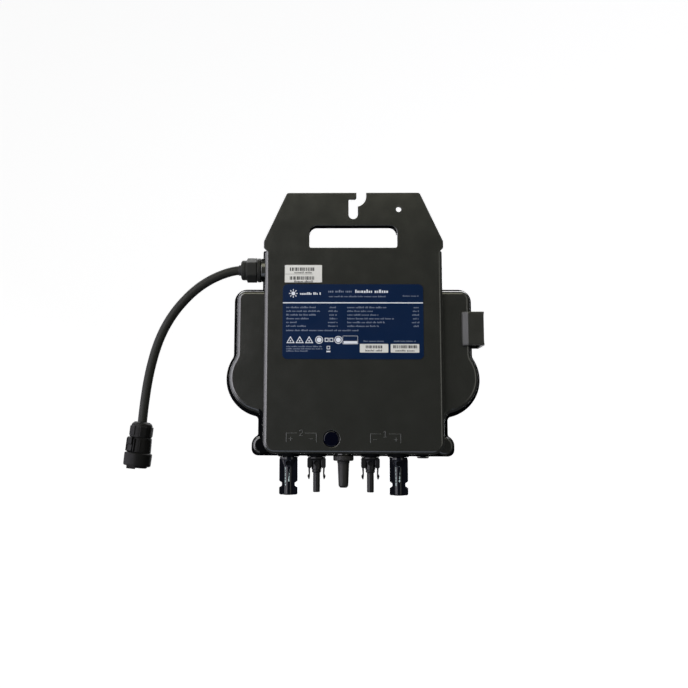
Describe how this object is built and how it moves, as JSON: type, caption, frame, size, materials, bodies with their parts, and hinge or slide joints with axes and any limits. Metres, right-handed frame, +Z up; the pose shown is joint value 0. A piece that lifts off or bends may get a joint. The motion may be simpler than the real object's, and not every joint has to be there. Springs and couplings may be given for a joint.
{
  "type": "micro inverter",
  "caption": "Flat micro inverter for balcony solar panels: hanging plate with a hook slot and handle, finned die-cast case, DC couplers, antenna stub and a short AC lead ending in a coupler.",
  "frame": {"origin": "axis of the hanging bolt at the top of the hook slot, in the plane of the label side", "axes": "+X to the right seen from the label side, +Y from the label side to the ribbed rear, +Z up"},
  "size_m": [0.3674, 0.037, 0.3106],
  "materials": {
    "housing_paint": "satin black-olive paint on cast aluminium",
    "black_rubber": "matt black rubber",
    "zinc_steel": "zinc plated",
    "label_film": "semi-gloss navy blue printed film",
    "sticker_paper": "matt white printed film",
    "smoked_lens": "polished smoked acrylic",
    "gloss_nylon": "glossy black nylon",
    "black_nylon": "satin black nylon",
    "silver_contact": "silver plated",
    "grey_nylon": "matt charcoal nylon",
    "clip_nylon": "satin dark grey nylon",
    "cable_jacket": "satin black rubber jacket",
    "board_laminate": "green solder mask",
    "ferrite": "matt sintered ferrite",
    "copper_winding": "enamelled copper wire",
    "capacitor_sleeve": "shrink sleeve on an aluminium can",
    "film_yellow": "moulded box capacitor",
    "component_black": "moulded epoxy",
    "terminal_green": "moulded nylon",
    "aluminium": "extruded aluminium",
    "clear_acrylic": "clear acrylic"
  },
  "bodies": {
    "inverter": {"ac_cable": "cable_jacket", "ac_terminal_block": "terminal_green", "antenna_base": "grey_nylon", "antenna_cover": "grey_nylon", "barrel_coupler_1": "gloss_nylon", "barrel_coupler_2": "gloss_nylon", "case_screw_1": "zinc_steel", "case_screw_2": "zinc_steel", "case_screw_3": "zinc_steel", "case_screw_4": "zinc_steel", "case_screw_5": "zinc_steel", "case_screw_6": "zinc_steel", "circuit_board": "board_laminate", "cover_gasket": "black_rubber", "film_capacitor": "film_yellow", "front_housing": "housing_paint", "gland_body": "black_nylon", "gland_nut": "black_nylon", "gland_seal": "black_rubber", "heat_spreader": "aluminium", "input_capacitor_1": "capacitor_sleeve", "input_capacitor_2": "capacitor_sleeve", "input_capacitor_3": "capacitor_sleeve", "input_capacitor_4": "capacitor_sleeve", "light_pipe": "clear_acrylic", "lock_nut_1": "zinc_steel", "lock_nut_2": "zinc_steel", "lock_nut_3": "zinc_steel", "lock_nut_4": "zinc_steel", "output_choke": "copper_winding", "output_relay": "component_black", "pin_contact_1": "silver_contact", "pin_contact_2": "silver_contact", "plug_body": "black_nylon", "plug_collar": "black_nylon", "plug_insert": "grey_nylon", "plug_nut": "black_nylon", "power_transistor_1": "component_black", "power_transistor_2": "component_black", "probe_coupler_1": "black_nylon", "probe_coupler_2": "black_nylon", "rating_label": "label_film", "rear_cover": "housing_paint", "serial_sticker": "sticker_paper", "side_clip": "clip_nylon", "socket_contact_1": "silver_contact", "socket_contact_2": "silver_contact", "status_led": "clear_acrylic", "status_lens": "smoked_lens", "transformer_core_left": "ferrite", "transformer_core_right": "ferrite", "transformer_winding_left": "copper_winding", "transformer_winding_right": "copper_winding", "vent_plug": "black_nylon", "wireless_module": "zinc_steel"},
    "finger_1_left": {"latch_finger_1_left": "black_nylon"},
    "finger_1_right": {"latch_finger_1_right": "black_nylon"},
    "finger_2_left": {"latch_finger_2_left": "black_nylon"},
    "finger_2_right": {"latch_finger_2_right": "black_nylon"},
    "release_lever": {"plug_lever": "black_nylon"}
  },
  "joints": [
    {"name": "finger_1_left_bend", "type": "hinge", "parent": "inverter", "child": "finger_1_left", "pos_m": [-0.04435, 0.0125, -0.2698], "axis": [0, -1, 0], "range_deg": [0, 6], "stiffness_Nm_per_rad": 0.5},
    {"name": "finger_1_right_bend", "type": "hinge", "parent": "inverter", "child": "finger_1_right", "pos_m": [-0.02985, 0.0125, -0.2698], "axis": [0, 1, 0], "range_deg": [0, 6], "stiffness_Nm_per_rad": 0.5},
    {"name": "finger_2_left_bend", "type": "hinge", "parent": "inverter", "child": "finger_2_left", "pos_m": [0.01005, 0.0125, -0.2698], "axis": [0, -1, 0], "range_deg": [0, 6], "stiffness_Nm_per_rad": 0.5},
    {"name": "finger_2_right_bend", "type": "hinge", "parent": "inverter", "child": "finger_2_right", "pos_m": [0.02455, 0.0125, -0.2698], "axis": [0, 1, 0], "range_deg": [0, 6], "stiffness_Nm_per_rad": 0.5},
    {"name": "release_lever_press", "type": "hinge", "parent": "inverter", "child": "release_lever", "pos_m": [-0.22511, 0.00565, -0.2487], "axis": [-0.7837, 0.6157, 0.0824], "range_deg": [0, 4], "stiffness_Nm_per_rad": 0.5}
  ]
}
